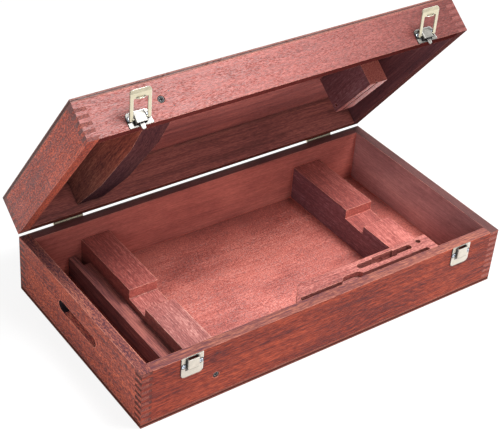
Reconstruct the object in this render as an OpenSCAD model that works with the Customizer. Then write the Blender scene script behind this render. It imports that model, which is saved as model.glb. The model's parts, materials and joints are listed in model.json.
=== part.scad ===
// Hinged wooden instrument case with finger-jointed corners and two bail latches.
// It is drawn with the lid part open and both bails standing up, ready to be swung over.
// Origin: centre of the underside of the base. +X is right, -Y is front, +Z is up. Millimetres.

/* [Case] */
// Outside width of the case, left to right
case_w = 510; // [470:5:560]
// Outside depth of the case, front to rear
case_d = 275; // [265:5:310]
// Outside height of the base, with its floor panel
base_h = 77; // [74:1:90]
// Outside height of the lid, with its top panel
lid_h = 48; // [44:1:60]
// Thickness of the solid wood walls
wall_t = 13; // [12:0.5:15]
// Thickness of the plywood floor panel
floor_t = 6; // [4:0.5:8]
// Thickness of the plywood lid panel
panel_t = 4.5; // [3:0.5:6]
// Height of one finger of the corner joints
finger_w = 4.1; // [3.5:0.1:6]
// Angle that the lid stands open from closed, in degrees
lid_open = 53; // [0:1:120]

/* [Finger pockets] */
// Length of the finger pocket in each side wall
pocket_len = 84; // [60:2:110]
// Height of the finger pocket
pocket_h = 14; // [10:1:20]
// Depth of the finger pocket into the wall
pocket_depth = 8.5; // [5:0.5:10]
// Height of the pocket's centre line above the table
pocket_z = 46; // [30:1:55]

/* [Fittings inside the base] */
// Distance from the case centre to the left cradle block's outer face
left_block_x = 180; // [170:1:190]
// Width of the left cradle block
left_block_w = 38; // [30:1:45]
// Distance from the case centre to the right cradle block's inner face
right_block_x = 138.5; // [125:0.5:145]
// Width of the right cradle block
right_block_w = 41.5; // [30:0.5:45]
// Height of the cradle blocks behind the notch
cradle_rear_z = 54; // [50:1:60]
// Height of the cradle blocks in front of the notch
cradle_front_z = 51; // [45:1:60]
// Height of the notch floor in the cradle blocks
notch_z = 39.5; // [30:0.5:44]
// Front face of the notch, measured from the case centre towards the front
notch_front = 22.5; // [15:0.5:30]
// Rear face of the notch, measured from the case centre towards the rear
notch_rear = 12.5; // [5:0.5:20]
// Width of the low rail beside the left cradle block
rail_w = 17.5; // [12:0.5:20]
// Height of the low rail above the table
rail_z = 33; // [25:1:40]
// Depth of the tool block, front to rear
tool_block_d = 42.5; // [42:0.5:50]
// Height of the tool block above the table
tool_block_z = 60; // [50:1:66]

/* [Fittings inside the lid] */
// Width of the left lid block
lid_left_w = 35; // [28:1:40]
// Width of the right lid block
lid_right_w = 27; // [18:1:30]
// Length of the right lid block, front to rear
lid_right_len = 87; // [70:1:120]
// How far the right lid block's front end reaches below the lid's rim
lid_right_drop = 6; // [0:0.5:10]

/* [Latches] */
// Distance from each end of the case to the centre of its latch
latch_inset = 62; // [50:1:80]
// Width of a latch plate
plate_w = 28; // [26:0.5:32]
// Height of the plate on the base
strike_h = 27.5; // [26:0.5:30]
// Height of the plate on the lid
keeper_h = 17; // [16:0.5:20]
// Thickness of the latch plates
plate_t = 1; // [0.8:0.1:1.2]
// Width of the raised box pressed out of each plate
boss_w = 14.6; // [12:0.2:15]
// How far the raised box on the base stands out from the wood
strike_out = 5; // [4.8:0.1:5.4]
// How far the raised box on the lid stands out from the wood
keeper_out = 5.8; // [5.8:0.1:6.4]
// Distance from a bail's pivot to the outer edge of its end bar
bail_len = 34; // [33:0.5:36]
// Outside width of a bail
bail_w = 25.5; // [24.5:0.5:27]
// Thickness of the bail's strip
bail_t = 1.2; // [1:0.1:1.4]

/* [Hinges] */
// Distance from each end of the case to the centre of its hinge
hinge_inset = 66; // [50:1:80]
// Length of a hinge along its pin
hinge_w = 37.5; // [30:0.5:45]
// Outside radius of the hinge knuckles
knuckle_r = 2.6; // [2.3:0.1:3]
// Radius of the hinge pins
pin_r = 1; // [0.8:0.1:1.2]

/* [Hidden] */
$fn = 48;
eps = 0.05;

left = -1;
right = 1;
front_y = -case_d / 2;
rear_y = case_d / 2;
inner_front = front_y + wall_t;
inner_rear = rear_y - wall_t;

// The lid closes on a thin gap, and everything on the lid is drawn closed and then turned open.
rim_gap = 0.3;
lid_z = base_h + rim_gap;
base_wall_h = base_h - floor_t;
lid_wall_h = lid_h - panel_t;

// Hinge geometry: the leaves lie on the rear faces, and the pin runs midway in the rim gap.
leaf_t = 1.2;
leaf_h = 14;
leaf_clear = 2.4;
knuckle_gap = 0.3;
pin_clear = 0.05;
pin_y = rear_y + knuckle_r + knuckle_gap;
pin_z = base_h + rim_gap / 2;
knuckles = 5;
knuckle_space = 0.25;
knuckle_len = (hinge_w - (knuckles - 1) * knuckle_space) / knuckles;
pin_cap_r = 1.8;
pin_cap_t = 0.8;

// Wood screws: [shank radius, head radius, head height, length]
latch_screw = [1.1, 2.5, 0.9, 9];
hinge_screw = [1.1, 2.5, 1.2, 11];
lid_screw = [1.9, 4, 3.2, 38];
base_screw = [1.5, 3.6, 2.9, 34];
screw_sink = 0.9;

// Latch geometry: the bail's pivot above the lid's rim and in front of the wood.
pivot_up = 8;
pivot_out = 3.9;
pivot_r = 0.9;
pivot_clear = 0.05;
boss_t = 0.9;
boss_r = 1.6;
corner_r = 5;
latch_screw_x = 11;

// Plate on the base: its top edge, where its raised box begins and ends below that, its screws.
strike_top = base_h - 0.2;
strike_boss = [-14.8, -1.5];
strike_eye = [-5, 2.6];
strike_screw_z = strike_top - 11;

// Plate on the lid: its foot above the rim, its raised box above that, its screws and its tongue.
keeper_foot = 0.4;
keeper_boss = [2.6, 15.2];
keeper_screw_up = 10;
tongue_w = 5;
tongue_t = 1;
tongue_out = 2;
tongue_drop = 4.2;

// Bail: a flat strip bent to a frame, with a lip on its end bar that catches below the strike.
leg_w = 4.2;
foot_len = 1.6;
foot_r = 1.5;
bar_w = 10;
tip_len = 4;
tip_r = 3.9;
tip_bend = 22;
lip_w = 12.5;
lip_in = 2;
lip_t = 1;
lip_eye_w = 6.5;
lip_rim = 0.8;
pin_in = 1.6;

// Tool block: how far it runs past the right cradle block, its left end, and its recesses as
// [x, y, length, width, depth]. The slot's wider middle is [length, width, depth], and the round
// socket is [x, y, radius, depth].
tool_block_back = inner_front + tool_block_d;
tool_past = 5;
tool_left_x = -45;
tool_mitre = 35;
tool_slot = [113, inner_front + 32.5, 84, 8, 30];
slot_wide = [32, 11, 14];
tool_socket = [169, inner_front + 35.5, 3.4, 28];
tool_groove = [74, inner_front + 17.5, 196, 7, 10];
tool_scoop = [55, inner_front + 17.5, 32, 18, 8];

// Well at the rear end of the low rail: [width, length].
rail_well = [9, 22];

// Left lid block: its place beside the case centre, the level part of its lower face, measured
// from the front and the rear, and how far above the rim that face lies in the middle and at the ends.
lid_left_x = -left_block_x + 3;
lid_left_level = [77, 94];
lid_left_rise = [1, 9];

// Right lid block: its left face, its front end, the fall of its lower face, the groove in that
// face as [place, width, depth], and a small hole near its rear end as [in, up, radius, depth].
lid_right_x = right_block_x + 16;
lid_right_front = rear_y - 192;
lid_right_fall = 3.4;
lid_right_groove = [9, 3, 1.5];
lid_right_hole = [7, 4, 1.8, 8];

block_screw_x = -case_w / 2 + 95;
base_screw_z = 33;
lid_screw_up = 22;
block_bottom = floor_t;

mahogany = [0.56, 0.22, 0.15];
mahogany_dark = [0.45, 0.17, 0.13];
plywood = [0.72, 0.42, 0.28];
nickel = [0.83, 0.8, 0.72];
blackened = [0.12, 0.12, 0.13];

// ---------------------------------------------------------------- shared shapes

// Turns its children open about the hinge pin, from the closed position.
module opened(angle = lid_open) {
    translate([0, pin_y, pin_z]) rotate([-angle, 0, 0]) translate([0, -pin_y, -pin_z]) children();
}

// A plain board with its lowest corner at at.
module board(at, size) {
    translate(at) cube(size);
}

// The bands of height that belong to a side wall's fingers. The first touches the rim.
function finger_count(height) = floor((height - finger_w) / (2 * finger_w)) + 1;
function finger_low(k, rim, down) = rim - (down ? (2 * k + 1) * finger_w : -2 * k * finger_w);

// Every side-wall finger at one corner, as a row of blocks. grow opens them for cutting.
module fingers(rim, down, height, x0, y0, grow = 0) {
    for (k = [0 : finger_count(height) - 1])
        translate([x0 - grow, y0 - grow, finger_low(k, rim, down)])
            cube([wall_t + 2 * grow, wall_t + 2 * grow, finger_w]);
}

// A front or rear wall: full width, notched at both ends for the side walls' fingers.
module long_wall(y0, z0, height, rim, down) {
    difference() {
        board([-case_w / 2, y0, z0], [case_w, wall_t, height]);
        for (side = [left, right])
            fingers(rim, down, height, side * (case_w - wall_t) / 2 - wall_t / 2, y0, eps);
    }
}

// A side wall: it fits between the long walls, and its fingers reach the outside.
module short_wall(side, z0, height, rim, down) {
    x0 = side * (case_w - wall_t) / 2 - wall_t / 2;
    board([x0, inner_front, z0], [wall_t, case_d - 2 * wall_t, height]);
    fingers(rim, down, height, x0, front_y);
    fingers(rim, down, height, x0, inner_rear);
}

// A slot with round ends, lying along X.
module slot_2d(length, width) {
    square([length - width, width], center = true);
    for (side = [left, right]) translate([side * (length - width) / 2, 0]) circle(d = width);
}

// A rectangle on the X axis whose two far corners are rounded.
module tab_2d(width, height, r) {
    translate([-width / 2, 0]) square([width, height - r]);
    translate([-width / 2 + r, 0]) square([width - 2 * r, height]);
    for (side = [left, right]) translate([side * (width / 2 - r), height - r]) circle(r = r);
}

// A cross recess cut into a screw head that faces +Z.
module cross_recess(r) {
    for (turn = [0, 90]) rotate([0, 0, turn])
        translate([-r * 0.62, -r * 0.12, -r * 0.4]) cube([r * 1.24, r * 0.24, r * 0.4 + eps]);
}

// A countersunk screw, flat head at z = 0 facing +Z, shank going down.
module flat_screw(s) {
    difference() {
        union() {
            translate([0, 0, -s[2]]) cylinder(h = s[2], r1 = s[0], r2 = s[1]);
            translate([0, 0, -s[3]]) cylinder(h = s[3] - s[2] + eps, r = s[0]);
        }
        cross_recess(s[1]);
    }
}

// A round-headed screw: the head sits on z = 0 facing +Z, shank going down.
module round_screw(s) {
    difference() {
        union() {
            rotate_extrude() polygon([[0, 0], [s[1], 0], [s[1] * 0.96, s[2] * 0.45],
                                      [s[1] * 0.75, s[2] * 0.8], [s[1] * 0.4, s[2]], [0, s[2]]]);
            translate([0, 0, -s[3]]) cylinder(h = s[3] + eps, r = s[0]);
        }
        translate([0, 0, s[2]]) cross_recess(s[1]);
    }
}

// The hole that a screw's shank needs, with no room to spare.
module shank_hole(s) {
    translate([0, 0, -s[3]]) cylinder(h = s[3] + 2 * eps, r = s[0]);
}

// The shank hole and the countersink of a flat screw whose head ends at z = 0. The cone runs on
// by over, at the same slope.
module countersunk_hole(s, over) {
    shank_hole(s);
    translate([0, 0, -s[2]])
        cylinder(h = s[2] + over, r1 = s[0], r2 = s[1] + (s[1] - s[0]) * over / s[2]);
}

// Moves its children from z = 0 facing +Z to the front face, facing -Y.
module on_front(x, z, out = 0) {
    translate([x, front_y - out, z]) rotate([90, 0, 0]) children();
}

// ---------------------------------------------------------------- wood screws in the blocks

module base_block_screw_place() {
    on_front(block_screw_x, base_screw_z, -screw_sink) children();
}

module lid_block_screw_place() {
    on_front(block_screw_x, lid_z + lid_screw_up, -screw_sink) children();
}

module base_block_screw() {
    color(blackened) base_block_screw_place() flat_screw(base_screw);
}

module lid_block_screw() {
    color(blackened) opened() lid_block_screw_place() flat_screw(lid_screw);
}

// ---------------------------------------------------------------- hinges

function hinge_x(side) = side * (case_w / 2 - hinge_inset);

// Places for the two screws of a leaf, on the outside of the leaf, facing the rear.
module hinge_screw_places(side) {
    for (step = [-1, 1])
        translate([hinge_x(side) + step * hinge_w * 0.3, rear_y + leaf_t, pin_z - leaf_h * 0.6])
            rotate([-90, 0, 0]) children();
}

// The base's half of a hinge: a leaf on the rear face that ends just short of the knuckles, and
// a tab from it to each of its own knuckles. first is 0 for the outer knuckles and 1 for the others.
module hinge_leaf(side, first) {
    x0 = hinge_x(side) - hinge_w / 2;
    difference() {
        union() {
            board([x0, rear_y, pin_z - leaf_h], [hinge_w, leaf_t, leaf_h - leaf_clear]);
            for (k = [first : 2 : knuckles - 1])
                translate([x0 + k * (knuckle_len + knuckle_space), 0, 0]) {
                    board([0, rear_y, pin_z - leaf_clear - eps], [knuckle_len, leaf_t, leaf_clear + eps]);
                    translate([0, pin_y, pin_z]) rotate([0, 90, 0])
                        cylinder(h = knuckle_len, r = knuckle_r);
                }
        }
        translate([x0 - 1, pin_y, pin_z]) rotate([0, 90, 0])
            cylinder(h = hinge_w + 2, r = pin_r + pin_clear);
        hinge_screw_places(side) countersunk_hole(hinge_screw, eps);
    }
}

module hinge_pin(side) {
    x0 = hinge_x(side) - hinge_w / 2;
    translate([x0, pin_y, pin_z]) rotate([0, 90, 0]) {
        cylinder(h = hinge_w, r = pin_r);
        translate([0, 0, -pin_cap_t]) cylinder(h = pin_cap_t, r = pin_cap_r);
        translate([0, 0, hinge_w]) cylinder(h = pin_cap_t, r = pin_cap_r);
    }
}

module left_base_hinge_leaf() { color(nickel) hinge_leaf(left, 0); }
module right_base_hinge_leaf() { color(nickel) hinge_leaf(right, 0); }
module left_lid_hinge_leaf() { color(nickel) opened() turned_over() hinge_leaf(left, 1); }
module right_lid_hinge_leaf() { color(nickel) opened() turned_over() hinge_leaf(right, 1); }
module left_hinge_pin() { color(nickel) hinge_pin(left); }
module right_hinge_pin() { color(nickel) hinge_pin(right); }

// Turns its children over about the pin's height, from the base's side to the lid's.
module turned_over() {
    translate([0, 0, 2 * pin_z]) mirror([0, 0, 1]) children();
}

module base_hinge_screws() {
    color(nickel) for (side = [left, right]) hinge_screw_places(side) flat_screw(hinge_screw);
}

module lid_hinge_screws() {
    color(nickel) opened() turned_over()
        for (side = [left, right]) hinge_screw_places(side) flat_screw(hinge_screw);
}

// ---------------------------------------------------------------- latches

function latch_x(side) = side * (case_w / 2 - latch_inset);

// A box pressed out of a plate: front wall and side walls, open at the top and the bottom.
// It spans a range of the plate's own height. eye is the height and depth of its side holes.
module pressed_box(span, out, eye) {
    difference() {
        translate([0, span[1], 0]) rotate([90, 0, 0]) linear_extrude(span[1] - span[0]) difference() {
            tab_2d(boss_w, out, boss_r);
            translate([0, -eps]) tab_2d(boss_w - 2 * boss_t, out - boss_t + eps, boss_r - boss_t);
        }
        translate([-boss_w, eye[0], eye[1]]) rotate([0, 90, 0])
            cylinder(h = 2 * boss_w, r = pivot_r + pivot_clear);
    }
}

// The flat of a plate, with the window that the box was pressed out of and two screw holes.
module plate_flat(span, screw_at) {
    difference() {
        linear_extrude(plate_t) children();
        translate([-boss_w / 2 + boss_t, span[0], -eps])
            cube([boss_w - 2 * boss_t, span[1] - span[0], plate_t + 2 * eps]);
        for (side = [left, right]) translate([side * latch_screw_x, screw_at, -eps])
            cylinder(h = plate_t + 2 * eps, r = latch_screw[0]);
    }
}

// The plate on the base, hanging from its top edge. Its lower corners are rounded.
module strike_plate() {
    plate_flat(strike_boss, strike_screw_z - strike_top)
        mirror([0, 1]) tab_2d(plate_w, strike_h, corner_r);
    pressed_box(strike_boss, strike_out, strike_eye);
}

// The plate on the lid, standing on its lower edge, with a tongue that enters the strike.
module keeper_plate() {
    plate_flat(keeper_boss, keeper_screw_up - keeper_foot) tab_2d(plate_w, keeper_h, corner_r);
    pressed_box(keeper_boss, keeper_out, [pivot_up - keeper_foot, pivot_out]);
    tongue_root = keeper_boss[0] + 1.5;
    translate([0, tongue_root, tongue_out]) mirror([0, 1, 0]) linear_extrude(tongue_t)
        tab_2d(tongue_w, tongue_root + keeper_foot + tongue_drop, tongue_w / 2 - eps);
    translate([-tongue_w / 2, keeper_boss[0], tongue_out])
        cube([tongue_w, 1.5, keeper_out - boss_t / 2 - tongue_out]);
}

// A bail with its pivot at the origin, its legs along +Y and its outer face towards +Z. Its tip is
// bent outwards for a finger, and a pointed lip on its end bar reaches inwards.
module bail() {
    inner_w = bail_w - 2 * leg_w;
    bar_low = bail_len - bar_w;
    tip_at = bail_len - tip_len;
    translate([0, 0, -bail_t / 2]) linear_extrude(bail_t) {
        difference() {
            translate([-bail_w / 2, 0]) square([bail_w, tip_at]);
            translate([-inner_w / 2, -1]) square([inner_w, bar_low + 1]);
        }
        for (side = [left, right]) translate([side * (bail_w - leg_w) / 2, 0])
            mirror([0, 1]) tab_2d(leg_w, foot_len, foot_r);
    }
    translate([0, tip_at, 0]) rotate([tip_bend, 0, 0]) {
        translate([0, 0, -bail_t / 2]) linear_extrude(bail_t) intersection() {
            tab_2d(bail_w, tip_len, tip_r);
            translate([-bail_w / 2, 0]) square([bail_w, tip_len]);
        }
        rotate([0, 90, 0]) cylinder(h = bail_w, d = bail_t, center = true);
    }
    translate([0, bar_low + lip_t, -bail_t / 2]) rotate([90, 0, 0]) linear_extrude(lip_t) difference() {
        polygon([[-lip_w / 2, eps], [-lip_w / 4, -lip_in], [lip_w / 4, -lip_in], [lip_w / 2, eps]]);
        translate([-lip_eye_w / 2, -lip_in + lip_rim]) square([lip_eye_w, lip_in - lip_rim]);
    }
    for (side = [left, right]) translate([side * (boss_w / 2 - pin_in), 0, 0])
        rotate([0, side * 90, 0]) cylinder(h = (inner_w - boss_w) / 2 + pin_in + 1, r = pivot_r);
}

// Stands a bail up from its pivot on the opened lid.
module bail_upright(side) {
    opened() translate([latch_x(side), front_y - pivot_out, lid_z + pivot_up])
        rotate([lid_open, 0, 0]) rotate([90, 0, 0]) mirror([0, 0, 1]) bail();
}

module left_strike_plate() { color(nickel) on_front(latch_x(left), strike_top) strike_plate(); }
module right_strike_plate() { color(nickel) on_front(latch_x(right), strike_top) strike_plate(); }

module left_keeper_plate() {
    color(nickel) opened() on_front(latch_x(left), lid_z + keeper_foot) keeper_plate();
}

module right_keeper_plate() {
    color(nickel) opened() on_front(latch_x(right), lid_z + keeper_foot) keeper_plate();
}

module left_bail() { color(nickel) bail_upright(left); }
module right_bail() { color(nickel) bail_upright(right); }

// Places for the four latch screws at one height, on the wood of the front face.
module latch_screw_places(z, out = 0) {
    for (side = [left, right], step = [-1, 1])
        on_front(latch_x(side) + step * latch_screw_x, z, out) children();
}

module strike_screws() {
    color(nickel) latch_screw_places(strike_screw_z, plate_t) round_screw(latch_screw);
}

module keeper_screws() {
    color(nickel) opened() latch_screw_places(lid_z + keeper_screw_up, plate_t) round_screw(latch_screw);
}

// ---------------------------------------------------------------- base

module base_floor() {
    color(plywood) board([-case_w / 2, front_y, 0], [case_w, case_d, floor_t]);
}

module base_front_wall() {
    color(mahogany) difference() {
        long_wall(front_y, floor_t, base_wall_h, base_h, true);
        latch_screw_places(strike_screw_z, plate_t) shank_hole(latch_screw);
        base_block_screw_place() countersunk_hole(base_screw, screw_sink + eps);
    }
}

module base_rear_wall() {
    color(mahogany) difference() {
        long_wall(inner_rear, floor_t, base_wall_h, base_h, true);
        for (side = [left, right]) hinge_screw_places(side) shank_hole(hinge_screw);
    }
}

// A side wall of the base with the finger pocket milled into its outer face.
module pocketed_wall(side) {
    difference() {
        short_wall(side, floor_t, base_wall_h, base_h, true);
        translate([side * case_w / 2, 0, pocket_z]) rotate([90, 0, side * 90])
            translate([0, 0, -pocket_depth]) linear_extrude(pocket_depth + 1)
                slot_2d(pocket_len, pocket_h);
    }
}

module base_left_wall() { color(mahogany) pocketed_wall(left); }
module base_right_wall() { color(mahogany) pocketed_wall(right); }

// A block that carries the instrument: high behind the notch, lower in front of it.
module cradle(x0, width, y_front) {
    translate([x0, 0, 0]) rotate([90, 0, 90]) linear_extrude(width)
        polygon([[y_front, block_bottom], [inner_rear, block_bottom],
                 [inner_rear, cradle_rear_z], [notch_rear, cradle_rear_z], [notch_rear, notch_z + 1.5],
                 [-notch_front, notch_z], [-notch_front, cradle_front_z], [y_front, cradle_front_z]]);
}

module left_cradle_block() {
    color(mahogany) difference() {
        cradle(-left_block_x, left_block_w, inner_front);
        base_block_screw_place() countersunk_hole(base_screw, screw_sink + eps);
    }
}

module right_cradle_block() {
    color(mahogany) cradle(right_block_x, right_block_w, tool_block_back);
}

// The low rail against the left cradle block, with a square well at its rear end.
module low_rail() {
    color(mahogany_dark) difference() {
        board([-left_block_x - rail_w, inner_front, floor_t],
              [rail_w, inner_rear - inner_front, rail_z - floor_t]);
        board([-left_block_x - rail_well[0], inner_rear - rail_well[1], floor_t - 1],
              [rail_well[0] + 1, rail_well[1] + 1, rail_z]);
    }
}

// A round-ended recess in the tool block's top, given as [x, y, length, width, depth].
module tool_recess(r) {
    translate([r[0], r[1], tool_block_z - r[4]]) linear_extrude(r[4] + 1) slot_2d(r[2], r[3]);
}

// The block along the front wall that holds small tools, with a mitred left end.
module tool_block() {
    x_right = right_block_x + right_block_w + tool_past;
    color(mahogany) difference() {
        translate([0, 0, floor_t]) linear_extrude(tool_block_z - floor_t)
            polygon([[tool_left_x, inner_front], [x_right, inner_front],
                     [x_right, tool_block_back], [tool_left_x + tool_mitre, tool_block_back]]);
        // Long slot with a wider middle
        tool_recess(tool_slot);
        translate([tool_slot[0], tool_slot[1], tool_block_z - slot_wide[2]])
            linear_extrude(slot_wide[2] + 1) square([slot_wide[0], slot_wide[1]], center = true);
        // Round socket
        translate([tool_socket[0], tool_socket[1], tool_block_z - tool_socket[3]])
            cylinder(h = tool_socket[3] + 1, r = tool_socket[2]);
        // Groove along the front wall, with a finger scoop
        tool_recess(tool_groove);
        tool_recess(tool_scoop);
    }
}

// ---------------------------------------------------------------- lid

module lid_panel() {
    color(plywood) opened()
        board([-case_w / 2, front_y, lid_z + lid_wall_h], [case_w, case_d, panel_t]);
}

module lid_front_wall() {
    color(mahogany) opened() difference() {
        long_wall(front_y, lid_z, lid_wall_h, lid_z, false);
        latch_screw_places(lid_z + keeper_screw_up, plate_t) shank_hole(latch_screw);
        lid_block_screw_place() countersunk_hole(lid_screw, screw_sink + eps);
    }
}

module lid_rear_wall() {
    color(mahogany) opened() difference() {
        long_wall(inner_rear, lid_z, lid_wall_h, lid_z, false);
        turned_over() for (side = [left, right]) hinge_screw_places(side) shank_hole(hinge_screw);
    }
}

module lid_left_wall() { color(mahogany) opened() short_wall(left, lid_z, lid_wall_h, lid_z, false); }
module lid_right_wall() { color(mahogany) opened() short_wall(right, lid_z, lid_wall_h, lid_z, false); }

// The shaped board that presses on the instrument: level in the middle, falling to both ends.
module lid_left_block() {
    top = lid_z + lid_wall_h;
    level_z = lid_z + lid_left_rise[0];
    end_z = lid_z + lid_left_rise[1];
    color(mahogany_dark) opened() difference() {
        translate([lid_left_x, 0, 0]) rotate([90, 0, 90]) linear_extrude(lid_left_w)
            polygon([[inner_front, top], [inner_front, end_z], [front_y + lid_left_level[0], level_z],
                     [rear_y - lid_left_level[1], level_z], [inner_rear, end_z], [inner_rear, top]]);
        lid_block_screw_place() countersunk_hole(lid_screw, screw_sink + eps);
    }
}

// The shorter block above the right cradle. Its lower face slopes down towards the front, past
// the rim, and has a shallow groove along it.
module lid_right_block() {
    top = lid_z + lid_wall_h;
    y_rear = lid_right_front + lid_right_len;
    front_z = lid_z - lid_right_drop;
    rear_z = front_z + lid_right_fall;
    groove = lid_right_groove;
    hole = lid_right_hole;
    color(mahogany_dark) opened() difference() {
        translate([lid_right_x, 0, 0]) rotate([90, 0, 90]) linear_extrude(lid_right_w)
            polygon([[lid_right_front, top], [lid_right_front, front_z], [y_rear, rear_z], [y_rear, top]]);
        translate([lid_right_x + groove[0], 0, 0]) rotate([90, 0, 90]) linear_extrude(groove[1])
            polygon([[lid_right_front - 1, front_z - lid_right_fall],
                     [lid_right_front - 1, front_z + groove[2]],
                     [y_rear + 1, rear_z + groove[2]], [y_rear + 1, front_z - lid_right_fall]]);
        translate([lid_right_x - 1, y_rear - hole[0], lid_z + hole[1]]) rotate([0, 90, 0])
            cylinder(h = hole[3] + 1, r = hole[2]);
    }
}

// ---------------------------------------------------------------- assembly

base_floor();
base_front_wall();
base_rear_wall();
base_left_wall();
base_right_wall();
left_cradle_block();
right_cradle_block();
low_rail();
tool_block();
left_strike_plate();
right_strike_plate();
strike_screws();
base_block_screw();
left_base_hinge_leaf();
right_base_hinge_leaf();
base_hinge_screws();
left_hinge_pin();
right_hinge_pin();
lid_panel();
lid_front_wall();
lid_rear_wall();
lid_left_wall();
lid_right_wall();
lid_left_block();
lid_right_block();
lid_block_screw();
left_keeper_plate();
right_keeper_plate();
keeper_screws();
left_lid_hinge_leaf();
right_lid_hinge_leaf();
lid_hinge_screws();
left_bail();
right_bail();
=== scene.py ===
import json
import math

import bpy
from mathutils import Matrix, Vector


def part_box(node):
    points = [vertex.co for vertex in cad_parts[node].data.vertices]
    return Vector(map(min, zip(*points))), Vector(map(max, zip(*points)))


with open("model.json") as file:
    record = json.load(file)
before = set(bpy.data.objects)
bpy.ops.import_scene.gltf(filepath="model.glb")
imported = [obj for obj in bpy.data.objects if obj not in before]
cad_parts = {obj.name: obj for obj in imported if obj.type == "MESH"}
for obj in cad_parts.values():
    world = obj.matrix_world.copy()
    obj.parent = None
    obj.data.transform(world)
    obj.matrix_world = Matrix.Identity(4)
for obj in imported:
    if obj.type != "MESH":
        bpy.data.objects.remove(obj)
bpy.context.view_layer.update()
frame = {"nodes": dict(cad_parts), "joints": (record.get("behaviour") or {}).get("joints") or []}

# ---------------------------------------------------------------- places taken from the frame

JOINTS = {j["name"]: j for j in frame["joints"]}
LID_AXIS = Vector(JOINTS["lid_hinge"]["pos_m"])
LID_OPEN = math.radians(-JOINTS["lid_hinge"]["range_deg"][0])
FLOOR_LO, FLOOR_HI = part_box("base_floor")
CASE_W = FLOOR_HI.x - FLOOR_LO.x
CASE_D = FLOOR_HI.y - FLOOR_LO.y
FRONT_Y = FLOOR_LO.y
FLOOR_T = FLOOR_HI.z
RIM_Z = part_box("base_front_wall")[1].z
WALL_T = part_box("base_front_wall")[1].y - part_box("base_front_wall")[0].y

UP, DOWN = (0, 0, 1), (0, 0, -1)
LEFT, RIGHT = (-1, 0, 0), (1, 0, 0)
FRONT, BACK = (0, -1, 0), (0, 1, 0)

# Takes a point drawn on the closed lid to its place on the open one.
LID_TURN = Matrix.Translation(LID_AXIS) @ Matrix.Rotation(-LID_OPEN, 4, "X") @ Matrix.Translation(-LID_AXIS)

# ---------------------------------------------------------------- measures that the marks in the stain follow

# Lengths are in metres. The finger pocket in a side wall: its rear end, half its height, the height of its
# middle, and how much of its length is painted dark as its shadow.
POCKET_REAR = 0.084 / 2
POCKET_HALF = 0.007
POCKET_Z = 0.046
POCKET_DARK = 0.012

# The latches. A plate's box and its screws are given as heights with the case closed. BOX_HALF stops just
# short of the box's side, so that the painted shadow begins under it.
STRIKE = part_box("left_strike_plate")
LATCH_X = -(STRIKE[0].x + STRIKE[1].x) / 2
LATCH_SCREW_X = 0.011
PLATE_T = 0.001
BOX_HALF = 0.0071
STRIKE_TOP = RIM_Z - 0.0002
STRIKE_BOX = (STRIKE_TOP - 0.0148, STRIKE_TOP - 0.0015)
STRIKE_SCREW_Z = STRIKE_TOP - 0.011
KEEPER_FOOT = RIM_Z + 0.0007
KEEPER_BOX = (KEEPER_FOOT + 0.0026, KEEPER_FOOT + 0.0152)
KEEPER_SCREW_Z = KEEPER_FOOT + 0.0096
SCREW_RING = 0.0035

# Width of a mark's soft rim.
SOFT = 0.0005

# How far a face has to look one way, as a dot product, to begin and to finish counting as looking that way.
FACING = (0.60, 0.90)


# ---------------------------------------------------------------- node helpers

def new_material(name):
    mat = bpy.data.materials.new(name)
    mat.use_nodes = True
    tree = mat.node_tree
    tree.nodes.clear()
    out = tree.nodes.new("ShaderNodeOutputMaterial")
    bsdf = tree.nodes.new("ShaderNodeBsdfPrincipled")
    tree.links.new(bsdf.outputs[0], out.inputs[0])
    return mat, tree, bsdf


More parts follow.
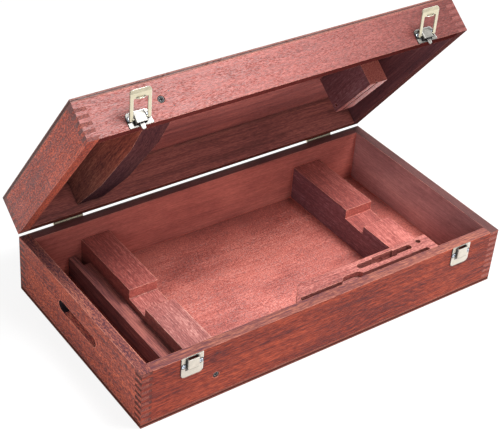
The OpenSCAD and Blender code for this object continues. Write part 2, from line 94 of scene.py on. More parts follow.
class Net:
    """Builds shader nodes with short calls. Values may be numbers, tuples or sockets."""

    def __init__(self, tree):
        self.tree = tree

    def put(self, socket, value):
        if hasattr(value, "is_output"):
            self.tree.links.new(value, socket)
        elif value is not None:
            socket.default_value = value

    def coords(self):
        return self.tree.nodes.new("ShaderNodeTexCoord").outputs["Object"]

    def math(self, op, a, b=None, clamp=False):
        n = self.tree.nodes.new("ShaderNodeMath")
        n.operation = op
        n.use_clamp = clamp
        self.put(n.inputs[0], a)
        self.put(n.inputs[1], b)
        return n.outputs[0]

    def vmath(self, op, a, b=None):
        n = self.tree.nodes.new("ShaderNodeVectorMath")
        n.operation = op
        self.put(n.inputs[0], a)
        self.put(n.inputs[1], b)
        return n.outputs["Value"] if op in ("DOT_PRODUCT", "LENGTH") else n.outputs["Vector"]

    def mapping(self, vector, scale=(1, 1, 1), rotation=(0, 0, 0), location=(0, 0, 0)):
        n = self.tree.nodes.new("ShaderNodeMapping")
        self.put(n.inputs["Vector"], vector)
        n.inputs["Scale"].default_value = scale
        n.inputs["Rotation"].default_value = rotation
        n.inputs["Location"].default_value = location
        return n.outputs[0]

    def noise(self, vector, scale=1.0, detail=3.0, rough=0.55):
        n = self.tree.nodes.new("ShaderNodeTexNoise")
        self.put(n.inputs["Vector"], vector)
        n.inputs["Scale"].default_value = scale
        n.inputs["Detail"].default_value = detail
        n.inputs["Roughness"].default_value = rough
        return n.outputs["Fac"]

    def layer(self, vector, scale, detail, rough, half=0.14):
        """Noise drawn out by scale along each axis, with the middle of its range spread over 0 to 1."""
        value = self.noise(self.mapping(vector, scale=scale), 1.0, detail, rough)
        return self.remap(value, 0.5 - half, 0.5 + half)

    def cells(self, vector, scale):
        """Distance from the middles of cells drawn out by scale along each axis."""
        n = self.tree.nodes.new("ShaderNodeTexVoronoi")
        self.put(n.inputs["Vector"], self.mapping(vector, scale=scale))
        n.inputs["Scale"].default_value = 1.0
        return n.outputs["Distance"]

    def away(self, x, z):
        """Length of the step (x, z)."""
        return self.vmath("LENGTH", self.combine(x, 0.0, z))

    def remap(self, value, lo, hi, a=0.0, b=1.0):
        n = self.tree.nodes.new("ShaderNodeMapRange")
        n.clamp = True
        self.put(n.inputs["Value"], value)
        for key, v in (("From Min", lo), ("From Max", hi), ("To Min", a), ("To Max", b)):
            self.put(n.inputs[key], v)
        return n.outputs["Result"]

    def mix(self, factor, a, b, blend="MIX"):
        n = self.tree.nodes.new("ShaderNodeMix")
        n.data_type = "RGBA"
        n.blend_type = blend
        self.put(n.inputs["Factor"], factor)
        self.put(n.inputs[6], a)
        self.put(n.inputs[7], b)
        return n.outputs[2]

    def separate(self, vector):
        n = self.tree.nodes.new("ShaderNodeSeparateXYZ")
        self.put(n.inputs[0], vector)
        return n.outputs

    def combine(self, x, y, z):
        n = self.tree.nodes.new("ShaderNodeCombineXYZ")
        for i, v in enumerate((x, y, z)):
            self.put(n.inputs[i], v)
        return n.outputs[0]

    def normal(self):
        return self.tree.nodes.new("ShaderNodeTexCoord").outputs["Normal"]

    def bump(self, height, strength, distance=0.0005):
        n = self.tree.nodes.new("ShaderNodeBump")
        self.put(n.inputs["Height"], height)
        self.put(n.inputs["Strength"], strength)
        n.inputs["Distance"].default_value = distance
        return n.outputs[0]

    def soft_edges(self, radius):
        """The shading normal, rounded over every edge."""
        bevel = self.tree.nodes.new("ShaderNodeBevel")
        bevel.samples = 4
        bevel.inputs["Radius"].default_value = radius
        return bevel.outputs[0]

    def edge_mask(self, radius):
        """1 near a sharp outer edge, 0 on a flat."""
        geo = self.tree.nodes.new("ShaderNodeNewGeometry")
        dot = self.vmath("DOT_PRODUCT", self.soft_edges(radius), geo.outputs["Normal"])
        return self.remap(self.math("SUBTRACT", 1.0, dot), 0.002, 0.12)

    def crevice(self, distance, lo=0.72, hi=0.30):
        """1 deep in an inner corner, 0 in the open."""
        ao = self.tree.nodes.new("ShaderNodeAmbientOcclusion")
        ao.samples = 4
        ao.inputs["Distance"].default_value = distance
        return self.remap(ao.outputs["AO"], lo, hi)

    def blend(self, *parts):
        """Weighted sum of (value, weight) pairs."""
        total = 0.0
        for value, weight in parts:
            total = self.math("ADD", total, self.math("MULTIPLY", value, weight))
        return total


def rgb(r, g, b):
    """A colour given in display values from 0 to 255, as linear."""
    def lin(c):
        c /= 255
        return c / 12.92 if c <= 0.04045 else ((c + 0.055) / 1.055) ** 2.4
    return (lin(r), lin(g), lin(b), 1.0)


# ---------------------------------------------------------------- wood

def closed_point(net, lid):
    """A shading point and its normal as they would be with the lid closed."""
    point, facing = net.coords(), net.normal()
    if lid:
        turn = (LID_OPEN, 0, 0)
        point = net.mapping(net.vmath("SUBTRACT", point, tuple(LID_AXIS)), rotation=turn)
        point = net.vmath("ADD", point, tuple(LID_AXIS))
        facing = net.mapping(facing, rotation=turn)
    return point, facing


def board_coords(net, point, facing, grain, seed):
    """Board coordinates in metres, with the grain along X, shifted so that no two boards match.
    Also gives how far a face looks along the grain, from 0 to 1."""
    order = {"x": (0, 1, 2), "y": (1, 0, 2), "z": (2, 1, 0)}[grain]
    parts = net.separate(point)
    turned = net.combine(*(parts[i] for i in order))
    end = net.remap(net.math("ABSOLUTE", net.separate(facing)[order[0]]), *FACING)
    shift = (seed * 0.731 % 5, seed * 0.377 % 5, seed * 0.193 % 5)
    return net.mapping(turned, location=shift), end


def corner_column(net, point):
    """1 inside the finger-jointed corners, whose joint lines are flush, unworn and without painted highlight."""
    x, y, z = net.separate(point)
    masks = []
    for value, half in ((x, CASE_W / 2), (y, CASE_D / 2)):
        reach = half - WALL_T - 0.001
        masks.append(net.remap(net.math("ABSOLUTE", value), reach, reach + SOFT))
    return net.math("MULTIPLY", *masks)


def shade(colour, factor):
    return tuple(c * factor for c in colour[:3]) + (1.0,)


# Pale colour of rubbed arrises: real wear that also stands in for a painted highlight.
RUBBED_HIGHLIGHT = rgb(222, 150, 130)
# Painted shade for the inner corners.
CREVICE_SHADE = (0.028, 0.014, 0.017, 1.0)
# Painted shade for the seams and round the plates.
SEAM_SHADE = (0.020, 0.010, 0.012, 1.0)
# Painted shadow in the finger pocket's rear end.
POCKET_SHADOW = (0.022, 0.014, 0.018, 1.0)
BRAD_HEAD = (0.045, 0.030, 0.032, 1.0)
GLUE = rgb(196, 92, 78)
PANEL_GLUE = rgb(168, 70, 60)


def wood(name, grain, lid=False, seed=1, tones=None, ends=None, tints=(), matte=(), worn=0.8, gloss=0.42,
         glare=0.3, pore=0.3, corner_shade=0.6, spread=0.30, streak=150, crisp=0.36, relief=0.6,
         figure=(0.34, 0.20, 0.46), line=None, arch=None, extra=()):
    """Stained open-pored mahogany, its grain along one axis of the closed case. Directions are in that frame.

    tones: dark, middle and light of the long grain. ends: the same for end grain.
    tints: (direction, factor) pairs of painted light and shade, which multiply the colour of faces that look
    one way. matte: directions of faces without shine. extra: functions that change the finished colour.
    figure: shares of bands, clouds and ribbons. crisp: share of fine streaks. streak: how short these are.
    spread: half the range of tone that is used, so a small one gives strong contrast. line: colour put in the
    seams in place of their dark painted shade.
    arch: a flame figure as (place along the board, height, curvature)."""
    mat, tree, bsdf = new_material(name)
    net = Net(tree)
    dark, middle, light = tones
    end_dark, end_middle, end_light = ends or tuple(shade(t, 0.8) for t in tones)
    point, facing = closed_point(net, lid)
    p, end = board_coords(net, point, facing, grain, seed)
    corner = corner_column(net, point)

    # Slow figure: bands and clouds a few centimetres long that drift across the board.
    warp = net.math("MULTIPLY", net.noise(net.mapping(p, scale=(6, 16, 16)), 1.0, 2, 0.5), 0.010)
    q = net.vmath("ADD", p, net.combine(0.0, warp, warp))
    band = net.layer(q, (3.5, 75, 75), 4, 0.6)
    cloud = net.layer(p, (10, 16, 16), 3, 0.5)
    ribbon = net.layer(q, (14, 520, 520), 3, 0.65, half=0.16)
    # Fine figure: short streaks about a millimetre wide.
    fine = net.layer(q, (streak, 1100, 1100), 1, 0.6)
    slow = ((value, share * (1 - crisp)) for value, share in zip((band, cloud, ribbon), figure))
    tone = net.blend(*slow, (fine, crisp))
    if arch:
        place, height, curve = arch
        x, y, z = net.separate(net.coords())
        run = net.math("SUBTRACT", x, place)
        bow = net.math("MULTIPLY", net.math("MULTIPLY", run, run), curve)
        rise = net.math("ADD", net.math("SUBTRACT", z, height), bow)
        rise = net.math("ADD", rise, net.math("MULTIPLY", warp, 1.6))
        lines = net.math("SINE", net.math("MULTIPLY", rise, 900.0))
        near = net.remap(net.math("ABSOLUTE", run), 0.11, 0.03)
        broken = net.math("MULTIPLY", near, ribbon)
        tone = net.math("ADD", tone, net.math("MULTIPLY", net.math("MULTIPLY", lines, broken), 0.11))
    tone = net.remap(tone, 0.5 - spread, 0.5 + spread)
    colour = net.mix(net.remap(tone, 0.0, 0.5), dark, middle)
    colour = net.mix(net.remap(tone, 0.5, 1.0), colour, light)

    # Pores: long thin cells along the grain, which show as dots where the board is cut across.
    cells = net.cells(q, (210, 950, 950))
    field = net.noise(net.mapping(q, scale=(22, 110, 110)), 1.0, 2, 0.5)
    mark = net.math("MULTIPLY", net.remap(cells, 0.44, 0.20), net.remap(field, 0.34, 0.56))
    colour = net.mix(net.math("MULTIPLY", mark, pore), colour, shade(dark, 0.45))

    rings = net.layer(p, (3, 420, 1000), 3, 0.6)
    end_shade = net.mix(net.remap(rings, 0.0, 0.5), end_dark, end_middle)
    end_shade = net.mix(net.remap(rings, 0.5, 1.0), end_shade, end_light)
    end_shade = net.mix(net.math("MULTIPLY", mark, 0.4), end_shade, shade(end_dark, 0.5))
    colour = net.mix(net.math("MULTIPLY", end, 0.8), colour, end_shade)

    shine = glare
    for direction in matte:
        toward = net.remap(net.vmath("DOT_PRODUCT", facing, direction), *FACING)
        shine = net.math("MULTIPLY", shine, net.math("SUBTRACT", 1.0, toward))
    # Painted light and shade: faces that look one way are made lighter or darker.
    for direction, factor in tints:
        toward = net.remap(net.vmath("DOT_PRODUCT", facing, direction), *FACING)
        colour = net.mix(toward, colour, tuple(factor) + (1.0,), "MULTIPLY")

    # Painted shade darkens the inner corners and the seams, and the arrises are rubbed pale in uneven lengths:
    # real wear that also stands in for a painted highlight.
    deep = net.crevice(0.012)
    colour = net.mix(net.math("MULTIPLY", deep, corner_shade), colour, net.mix(0.8, colour, CREVICE_SHADE))
    seam = net.crevice(0.0026, 0.78, 0.50)
    colour = net.mix(net.math("MULTIPLY", seam, 0.8), colour, line or SEAM_SHADE)
    # Rubbed arrises: real wear, and a painted highlight along the edges.
    patch = net.remap(net.noise(net.coords(), 60.0, 4, 0.65), 0.34, 0.56)
    keep = net.math("SUBTRACT", 1.0, corner)
    wear_highlight = net.math("MULTIPLY", net.math("MULTIPLY", net.edge_mask(0.0010), patch), worn, clamp=True)
    wear_highlight = net.math("MULTIPLY", wear_highlight, keep)
    colour = net.mix(wear_highlight, colour, RUBBED_HIGHLIGHT)
    for change in extra:
        colour = change(net, colour)

    rough = net.math("ADD", gloss, net.blend((ribbon, 0.10), (mark, 0.2), (end, 0.12)))
    height = net.blend((ribbon, 0.3), (fine, 0.5), (mark, -0.9))
    bump = net.bump(height, relief, 0.0004)
    geo = tree.nodes.new("ShaderNodeNewGeometry").outputs["Normal"]
    softened = net.vmath("SUBTRACT", net.soft_edges(0.0009), geo)
    softened = net.vmath("ADD", geo, net.vmath("MULTIPLY", softened, net.combine(keep, keep, keep)))
    tree.links.new(softened, bump.node.inputs["Normal"])
    net.put(bsdf.inputs["Specular IOR Level"], shine)
    net.put(bsdf.inputs["Base Color"], colour)
    net.put(bsdf.inputs["Roughness"], rough)
    net.put(bsdf.inputs["Normal"], bump)
    return mat


PLIES = 3
PLY_DARK, PLY_LIGHT, PLY_FIBRE = rgb(64, 34, 32), rgb(156, 96, 84), rgb(110, 60, 54)


def plywood(name, low, high, edge, lid=False, seed=1, **look):
    """Stained plywood between the heights low and high of the closed case: mahogany faces, and edges that show
    thin plies, alternately light and dark. edge shades the plies."""
    mat = wood(name, "x", lid, seed, **look)
    tree = mat.node_tree
    net = Net(tree)
    bsdf = next(n for n in tree.nodes if n.type == "BSDF_PRINCIPLED")
    face = bsdf.inputs["Base Color"].links[0].from_socket
    point, facing = closed_point(net, lid)
    height = net.remap(net.separate(point)[2], low, high)
    wobble = net.noise(net.mapping(point, scale=(60, 60, 8)), 1.0, 2)
    height = net.math("ADD", height, net.math("MULTIPLY", net.math("SUBTRACT", wobble, 0.5), 0.05))
    wave = net.math("SINE", net.math("MULTIPLY", height, math.pi * PLIES))
    fibres = net.noise(net.mapping(point, scale=(900, 900, 300)), 1.0, 2)
    ply = net.mix(net.remap(wave, -0.25, 0.25), shade(PLY_DARK, edge), shade(PLY_LIGHT, edge))
    loose = net.math("MULTIPLY", net.remap(fibres, 0.35, 0.65), 0.45)
    ply = net.mix(loose, ply, shade(PLY_FIBRE, edge))
    side = net.remap(net.math("ABSOLUTE", net.separate(facing)[2]), 0.6, 0.4)
    net.put(bsdf.inputs["Base Color"], net.mix(side, face, ply))
    return mat


# ---------------------------------------------------------------- metal

# White of the painted highlight on the metal's rolled edges.
EDGE_HIGHLIGHT = (0.95, 0.95, 0.95, 1.0)
METAL_SHADE = (0.030, 0.026, 0.026, 1.0)
# Painted shade for gaps in the metal and round the latch boxes and screws.
METAL_GAP_SHADE = (0.022, 0.019, 0.020, 1.0)


def metal(name, colour, rough=0.28, spots=0.35, seed=1, gap=0.0022, metallic=1.0, lid=False,
          turned=0.0009, extra=()):
    """Worn plated sheet with fine scratches, dull patches and painted shade in gaps up to gap wide. Its edges
    are rolled to the radius turned, with a painted highlight above and on the right and painted shade below and
    on the left."""
    mat, tree, bsdf = new_material(name)
    net = Net(tree)
    p = net.mapping(net.coords(), location=(seed * 0.37, seed * 0.71, seed * 0.13))
    dull = net.noise(p, 160.0, 4, 0.6)
    hair = net.noise(net.mapping(p, scale=(300, 4200, 900), rotation=(0.2, 0.1, 0.6)), 1.0, 2, 0.6)
    stain = net.remap(net.noise(p, 420.0, 3, 0.6), 0.60, 0.72)
    base = net.mix(net.remap(dull, 0.3, 0.7), shade(colour, 0.82), colour)
    base = net.mix(net.math("MULTIPLY", stain, spots), base, shade(colour, 0.5))
    geo = tree.nodes.new("ShaderNodeNewGeometry").outputs["Normal"]
    bend = net.vmath("SUBTRACT", net.soft_edges(turned), geo)
    if lid:
        bend = net.mapping(bend, rotation=(LID_OPEN, 0, 0))
    # Painted highlight above and on the right of each edge, painted shade below and on the left.
    under = net.math("MAXIMUM", net.vmath("DOT_PRODUCT", bend, DOWN), net.vmath("DOT_PRODUCT", bend, LEFT))
    over = net.math("MAXIMUM", net.vmath("DOT_PRODUCT", bend, UP), net.vmath("DOT_PRODUCT", bend, RIGHT))
    base = net.mix(net.math("MULTIPLY", net.remap(over, 0.15, 0.5), 0.5), base, EDGE_HIGHLIGHT)
    base = net.mix(net.math("MULTIPLY", net.remap(under, 0.12, 0.45), 0.85), base, METAL_SHADE)
    # Painted shade in the metal's gaps.
    base = net.mix(net.math("MULTIPLY", net.crevice(gap, 0.94, 0.66), 0.92), base, METAL_GAP_SHADE)
    for change in extra:
        base = change(net, base)
    r = net.remap(dull, 0.3, 0.7, rough, rough + 0.16)
    r = net.math("ADD", r, net.math("MULTIPLY", net.remap(hair, 0.5, 0.7), 0.10))
    bump = net.bump(hair, 0.10, 0.00005)
    tree.links.new(net.soft_edges(0.0005), bump.node.inputs["Normal"])
    bsdf.inputs["Metallic"].default_value = metallic
    net.put(bsdf.inputs["Base Color"], base)
    net.put(bsdf.inputs["Roughness"], r)
    net.put(bsdf.inputs["Normal"], bump)
    return mat


def paint_node(node, mat):
    obj = frame["nodes"][node]
    obj.data.materials.clear()
    obj.data.materials.append(mat)
    for poly in obj.data.polygons:
        poly.material_index = 0


# Dark, middle and light of the stain.
FRONT_TONES = (rgb(78, 36, 36), rgb(118, 50, 37), rgb(160, 74, 50))
SIDE_TONES = (rgb(88, 46, 46), rgb(140, 64, 52), rgb(194, 98, 70))
BLOCK_TONES = (rgb(104, 52, 50), rgb(144, 72, 66), rgb(192, 116, 106))
BLOCK_ENDS = (rgb(150, 68, 60), rgb(182, 86, 76), rgb(210, 118, 102))
INNER_TONES = (rgb(112, 50, 44), rgb(146, 70, 60), rgb(176, 90, 76))
LID_TONES = (rgb(88, 48, 44), rgb(118, 64, 57), rgb(146, 82, 70))
DARK_TONES = (rgb(72, 40, 40), rgb(116, 58, 52), rgb(152, 82, 68))
WALL_ENDS = (rgb(44, 28, 28), rgb(66, 38, 36), rgb(92, 54, 48))
# Painted shade on faces that look up, such as the rims: darker and greyer.
RIM = (UP, (0.62, 0.98, 1.30))


def finger_pocket_end(net, colour):
    """The left finger pocket is painted lighter, as if lit inside, and its rear end painted dark as its shadow.
    """
    x, y, z = net.separate(net.coords())
    skin = FLOOR_LO.x + 0.0003
    back = FLOOR_LO.x + WALL_T - 0.003
    inside = net.remap(x, skin, skin + SOFT)
    inside = net.math("MULTIPLY", inside, net.remap(z, RIM_Z - SOFT, RIM_Z - 2 * SOFT))
    inside = net.math("MULTIPLY", inside, net.remap(x, back, back - 0.001))
    dark_from = POCKET_REAR - POCKET_DARK
    dark = net.math("MULTIPLY", inside, net.remap(y, dark_from - SOFT, dark_from + SOFT))
    dark = net.math("MULTIPLY", dark, net.remap(y, POCKET_REAR + 2 * SOFT, POCKET_REAR + SOFT))
    off_middle = net.math("ABSOLUTE", net.math("SUBTRACT", z, POCKET_Z))
    reach = POCKET_HALF + 0.0015
    dark = net.math("MULTIPLY", dark, net.remap(off_middle, reach + SOFT, reach))
    # Painted light: the inside of the pocket is made lighter.
    colour = net.mix(inside, colour, (1.6, 1.6, 1.6, 1.0), "MULTIPLY")
    return net.mix(dark, colour, POCKET_SHADOW)


def glue_line(net, colour):
    """A pale broken line of glue along the panel's front edge, inside the lid."""
    point = closed_point(net, True)[0]
    y = net.separate(point)[1]
    off = net.math("ABSOLUTE", net.math("SUBTRACT", y, FRONT_Y + WALL_T + 0.0008))
    broken = net.remap(net.noise(net.mapping(point, scale=(90, 20, 20)), 1.0, 3, 0.7), 0.40, 0.52)
    return net.mix(net.math("MULTIPLY", net.remap(off, 0.0012, 0.0005), broken), colour, PANEL_GLUE)


def brads(spots, lid=False):
    """Small dark heads of sunk brads on a front wall, at (x, z) in the closed case's frame."""
    def mark(net, colour):
        x, y, z = net.separate(closed_point(net, lid)[0])
        for at_x, at_z in spots:
            away = net.away(net.math("SUBTRACT", x, at_x), net.math("SUBTRACT", z, at_z))
            colour = net.mix(net.remap(away, 0.0010, 0.0006), colour, BRAD_HEAD)
        return colour
    return mark


def light_ramp(axis, start, end, factor, lid=False):
    """Painted light and shade along one axis of the closed case, from none at start to the whole factor at end.
    """
    def change(net, colour):
        along = net.separate(closed_point(net, lid)[0])["xyz".index(axis)]
        return net.mix(net.remap(along, start, end), colour, tuple(factor) + (1.0,), "MULTIPLY")
    return change


def floor_light_pool(net, colour):
    """A painted pool of light: the floor is paler towards the front, most of all on the left of the middle."""
    x, y, z = net.separate(net.coords())
    across = net.remap(net.math("ABSOLUTE", net.math("ADD", x, 0.03)), 0.16, 0.02)
    near = net.math("MULTIPLY", net.remap(y, 0.04, FRONT_Y + 0.04), across)
    return net.mix(near, colour, (1.35, 1.55, 1.62, 1.0), "MULTIPLY")


def latch_shadow(box, hang, screw_z, lid=False):
    """Painted shadow on a latch plate's flat: left of its box, below it by hang, and round its screws."""
    foot, head = box

    def mark(net, colour):
        x, y, z = net.separate(closed_point(net, lid)[0])
        across = net.math("SUBTRACT", x, net.math("MULTIPLY", net.math("SIGN", x), LATCH_X))
        face = FRONT_Y - PLATE_T
        flat = net.remap(y, face - 0.0003, face - 0.0001)
        off_middle = net.math("ABSOLUTE", net.math("ADD", across, 0.0008))
        beside = net.math("SUBTRACT", off_middle, BOX_HALF + 0.0008)
        middle, half = (foot + head - hang) / 2, (head - foot + hang) / 2
        below = net.math("SUBTRACT", net.math("ABSOLUTE", net.math("SUBTRACT", z, middle)), half)
        dark = net.remap(net.math("MAXIMUM", beside, below), 0.0003, -0.0002)
        for place in (-LATCH_SCREW_X, LATCH_SCREW_X):
            away = net.away(net.math("SUBTRACT", across, place), net.math("SUBTRACT", z, screw_z))
            dark = net.math("MAXIMUM", dark, net.remap(away, SCREW_RING + SOFT, SCREW_RING))
        dark = net.math("MULTIPLY", net.math("MULTIPLY", dark, flat), 0.9)
        return net.mix(dark, colour, METAL_GAP_SHADE)
    return mark


base_brads = brads(((-0.161, 0.0657), (-0.156, 0.0632)))
lid_brads = brads(((-0.148, RIM_Z + 0.029), (-0.149, RIM_Z + 0.012)), lid=True)

# Direction pairs paint light and shade on faces by facing; ramps paint light that changes along a board.
WOOD = {
    "base_front_wall": dict(
        grain="x", seed=3, tones=FRONT_TONES, ends=WALL_ENDS, glare=0.06, arch=(0.085, 0.045, 6.0), streak=110,
        crisp=0.34, pore=0.25, tints=((UP, (0.90, 1.75, 2.6)), (FRONT, (0.92, 0.86, 0.90))),
        extra=(base_brads,)),
    "base_rear_wall": dict(
        grain="x", seed=5, tones=INNER_TONES, ends=WALL_ENDS, spread=0.42, crisp=0.2, pore=0.15,
        figure=(0.14, 0.52, 0.34), line=GLUE, tints=(RIM, (FRONT, (1.55, 2.0, 2.2)))),
    "base_left_wall": dict(
        grain="y", seed=7, tones=SIDE_TONES, ends=WALL_ENDS, glare=0.10, corner_shade=0.1, streak=260, worn=2.0,
        crisp=0.50, pore=0.25, tints=(RIM, (RIGHT, (0.8, 0.8, 0.9))), extra=(finger_pocket_end,)),
    "base_right_wall": dict(
        grain="y", seed=11, tones=INNER_TONES, ends=FRONT_TONES, glare=0.4, spread=0.45, crisp=0.2, pore=0.12,
        figure=(0.14, 0.52, 0.34), line=GLUE, tints=((UP, (0.34, 0.56, 0.70)), (LEFT, (1.7, 3.9, 5.2)))),
    "left_cradle_block": dict(
        grain="y", seed=13, tones=BLOCK_TONES, ends=BLOCK_ENDS, glare=0.5, streak=160, pore=0.2, spread=0.38,
        worn=1.3, extra=(light_ramp("y", 0.02, -0.05, (1.0, 1.42, 1.5)),)),
    "right_cradle_block": dict(
        grain="y", seed=17, tones=BLOCK_TONES, ends=BLOCK_ENDS, glare=0.5, streak=160, pore=0.2, spread=0.38,
        worn=1.3, line=GLUE, tints=((LEFT, (0.70, 1.05, 1.50)),)),
    "low_rail": dict(
        grain="y", seed=19, tones=DARK_TONES, glare=0.3, corner_shade=0.5, streak=40, crisp=0.3,
        tints=((LEFT, (1.1, 2.2, 2.9)), (UP, (1.15, 1.5, 1.7)))),
    "tool_block": dict(
        grain="x", seed=29, tones=BLOCK_TONES, ends=BLOCK_ENDS, glare=0.5, pore=0.2, streak=260,
        tints=((UP, (0.92, 1.0, 1.0)),)),
    "lid_front_wall": dict(
        grain="x", seed=31, lid=True, streak=200, relief=0.4, glare=0.2, gloss=0.36, pore=0.2, crisp=0.5,
        spread=0.36, tones=(rgb(98, 49, 45), rgb(121, 60, 54), rgb(144, 78, 71)),
        ends=(rgb(84, 46, 45), rgb(100, 54, 51), rgb(118, 68, 64)), matte=(DOWN,),
        tints=((DOWN, (0.50, 0.42, 0.45)), (BACK, (0.9, 0.8, 0.8))),
        extra=(light_ramp("x", -0.02, 0.24, (0.45, 0.40, 0.41)), lid_brads)),
    "lid_rear_wall": dict(
        grain="x", seed=37, lid=True, tones=LID_TONES, glare=0.25, crisp=0.25, pore=0.3, matte=(DOWN,),
        tints=((FRONT, (1.6, 1.75, 1.9)),)),
    "lid_left_wall": dict(
        grain="y", seed=41, lid=True, tones=SIDE_TONES, glare=0.15, streak=260, crisp=0.50, pore=0.25,
        ends=(rgb(60, 36, 36), rgb(84, 48, 46), rgb(112, 68, 62)),
        tints=((RIGHT, (0.5, 0.5, 0.5)), (LEFT, (1.05, 0.82, 0.74)))),
    "lid_right_wall": dict(
        grain="y", seed=43, lid=True, tones=DARK_TONES, glare=0.3, crisp=0.15, pore=0.15, spread=0.45, worn=0.2,
        ends=(rgb(74, 34, 32), rgb(92, 44, 40), rgb(110, 54, 48)), matte=(DOWN,),
        tints=((LEFT, (0.75, 1.25, 1.75)), (DOWN, (0.45, 0.62, 0.70)))),
    "lid_left_block": dict(
        grain="y", seed=47, lid=True, tones=DARK_TONES, glare=0.2, streak=120, pore=0.2, spread=0.42,
        matte=(LEFT, DOWN), tints=((DOWN, (0.42, 0.58, 0.78)), (LEFT, (1.3, 1.35, 1.2))),
        extra=(light_ramp("y", -0.06, 0.06, (0.80, 1.10, 1.20), lid=True),)),
    "lid_right_block": dict(
        grain="y", seed=53, lid=True, tones=BLOCK_TONES, ends=BLOCK_ENDS, glare=0.3, crisp=0.3, pore=0.12,
        spread=0.42, tints=((LEFT, (0.46, 0.72, 0.98)), (FRONT, (0.75, 0.9, 0.9)))),
}
for node, spec in WOOD.items():
    paint_node(node, wood(node + "_wood", **spec))

paint_node("base_floor", plywood(
    "floor_ply", 0.0, FLOOR_T, 0.6, seed=59, pore=0.15, glare=1.0, gloss=0.38, streak=500, crisp=0.45,
    spread=0.34, figure=(0.12, 0.55, 0.33), line=GLUE, matte=(FRONT, LEFT, RIGHT, BACK), extra=(floor_light_pool,),
    tones=(rgb(112, 52, 47), rgb(156, 78, 69), rgb(198, 116, 103))))
PANEL_HEIGHTS = [(LID_TURN.inverted() @ v.co).z for v in frame["nodes"]["lid_panel"].data.vertices]
paint_node("lid_panel", plywood(
    "lid_ply", min(PANEL_HEIGHTS), max(PANEL_HEIGHTS), 0.5, lid=True, seed=61, pore=0.2, glare=0.2, crisp=0.25,
    worn=0.15, tones=LID_TONES, extra=(glue_line,), tints=((DOWN, (1.85, 2.1, 2.35)),)))

nickel = metal("nickel", rgb(178, 171, 159), seed=1, gap=0.004, metallic=0.6, turned=0.0016,
               extra=(latch_shadow(STRIKE_BOX, 0.0036, STRIKE_SCREW_Z),))
# A darker copy of the nickel for the keepers: painted shade that holds back the strong light on the lid.
shaded_lid_nickel = metal("shaded_lid_nickel", rgb(100, 98, 93), seed=6, gap=0.004, metallic=0.6, lid=True, turned=0.0016,
                   extra=(latch_shadow(KEEPER_BOX, 0.0012, KEEPER_SCREW_Z, lid=True),))
bail_metal = metal("bail_nickel", rgb(184, 176, 152), seed=4, gap=0.0012, metallic=0.6, lid=True,
                   turned=0.0010)
screw_metal = metal("screw_nickel", rgb(190, 202, 216), rough=0.2, seed=5, metallic=0.7, gap=0.002)
hinge_metal = metal("hinge_nickel", rgb(236, 222, 190), rough=0.3, seed=2, metallic=0.5)
black_screw = metal("black_screw", rgb(34, 35, 37), rough=0.6, spots=0.2, seed=3, gap=0.0022, metallic=0.2)
for node in frame["nodes"]:
    if "block_screw" in node:
        paint_node(node, black_screw)
    elif "hinge" in node:
        paint_node(node, hinge_metal)
    elif "screws" in node:
        paint_node(node, screw_metal)
    elif "bail" in node:
        paint_node(node, bail_metal)
    elif "keeper" in node:
        paint_node(node, shaded_lid_nickel)
    elif "plate" in node:
        paint_node(node, nickel)

# ---------------------------------------------------------------- stage, light and camera

# The world's light on the case. The camera sees the world as full white.
AMBIENT = 0.55
# Power of the lamps in watts.
KEY = 50
FILL = 9
SHEET_HALF = 6.0
SHEET_DROP = 0.0002
# How much of what the camera sees of the sheet is even white.
SHEET_GLOW = 0.86


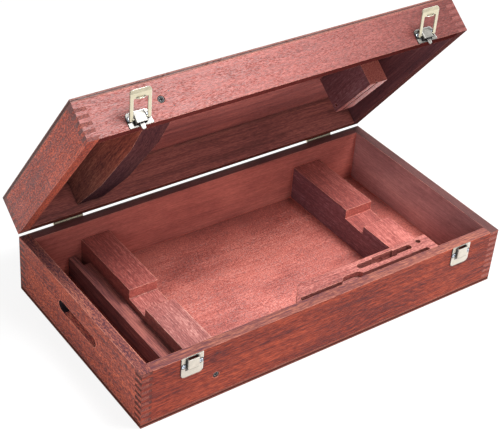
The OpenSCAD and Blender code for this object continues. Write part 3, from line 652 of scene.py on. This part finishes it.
def studio():
    mesh = bpy.data.meshes.new("floor_sheet")
    corners = [(SHEET_HALF * x, SHEET_HALF * y, 0) for x, y in ((-1, -1), (1, -1), (1, 1), (-1, 1))]
    mesh.from_pydata(corners, [], [(0, 1, 2, 3)])
    sheet = bpy.data.objects.new("floor_sheet", mesh)
    sheet.location.z = -SHEET_DROP
    bpy.context.scene.collection.objects.link(sheet)
    mat, tree, bsdf = new_material("floor_white")
    net = Net(tree)
    grain = net.noise(net.coords(), 40.0, 3, 0.5)
    net.put(bsdf.inputs["Base Color"], net.mix(grain, (0.90, 0.90, 0.90, 1), (0.94, 0.94, 0.94, 1)))
    bsdf.inputs["Roughness"].default_value = 0.9
    # The camera sees the sheet nearly shadowless, as if lit from below. Light that bounces off it stays natural.
    glow = tree.nodes.new("ShaderNodeEmission")
    glow.inputs["Strength"].default_value = 1.0
    share = tree.nodes.new("ShaderNodeMixShader")
    path = tree.nodes.new("ShaderNodeLightPath")
    net.put(share.inputs[0], net.math("MULTIPLY", path.outputs["Is Camera Ray"], SHEET_GLOW))
    tree.links.new(bsdf.outputs[0], share.inputs[1])
    tree.links.new(glow.outputs[0], share.inputs[2])
    out = next(n for n in tree.nodes if n.type == "OUTPUT_MATERIAL")
    tree.links.new(share.outputs[0], out.inputs[0])
    mesh.materials.append(mat)

    world = bpy.data.worlds.new("studio")
    bpy.context.scene.world = world
    world.use_nodes = True
    net = Net(world.node_tree)
    background = world.node_tree.nodes["Background"]
    background.inputs["Color"].default_value = (1.0, 1.0, 1.0, 1.0)
    path = world.node_tree.nodes.new("ShaderNodeLightPath")
    net.put(background.inputs["Strength"], net.remap(path.outputs["Is Camera Ray"], 0.0, 1.0, AMBIENT, 1.0))

    def area(name, at, to, size, power):
        light = bpy.data.lights.new(name, "AREA")
        light.shape = "RECTANGLE"
        light.size, light.size_y = size
        light.energy = power
        obj = bpy.data.objects.new(name, light)
        obj.location = at
        obj.rotation_euler = (Vector(to) - Vector(at)).to_track_quat("-Z", "Y").to_euler()
        bpy.context.scene.collection.objects.link(obj)

    area("key", (0.42, -0.40, 1.55), (0, -0.05, 0.1), (0.7, 0.7), KEY)
    area("fill", (-1.3, -1.5, 0.9), (0, 0, 0.1), (1.2, 0.9), FILL)


def camera():
    """The camera sees the case from its front left, from above, with a long lens, turned a little about its own
    line of sight. Places and lengths are in case widths from the base's front left corner, angles in radians."""
    azimuth, elevation, roll = -0.66385, 0.61926, 0.08635
    target = Vector((0.5, 0.28, 0.1))
    slide_right, slide_up = -0.025335, 0.077449
    distance = 3.0761
    level = math.cos(elevation)
    back = Vector((math.sin(azimuth) * level, -math.cos(azimuth) * level, math.sin(elevation)))
    forward = -back
    right = forward.cross(Vector(UP)).normalized()
    up = right.cross(forward)
    rolled_right = right * math.cos(roll) + up * math.sin(roll)
    rolled_up = -right * math.sin(roll) + up * math.cos(roll)
    eye = target + back * distance + rolled_right * slide_right + rolled_up * slide_up
    eye = eye * CASE_W + Vector((-CASE_W / 2, FRONT_Y, 0))
    cam = bpy.data.cameras.new("camera")
    cam.sensor_width = 36.0
    cam.lens = 93.37
    cam.clip_end = 50.0
    obj = bpy.data.objects.new("camera", cam)
    turn = Matrix((rolled_right, rolled_up, back)).transposed().to_4x4()
    obj.matrix_world = Matrix.Translation(eye) @ turn
    bpy.context.scene.collection.objects.link(obj)
    bpy.context.scene.camera = obj


studio()
camera()

bpy.context.scene.view_settings.view_transform = "Standard"
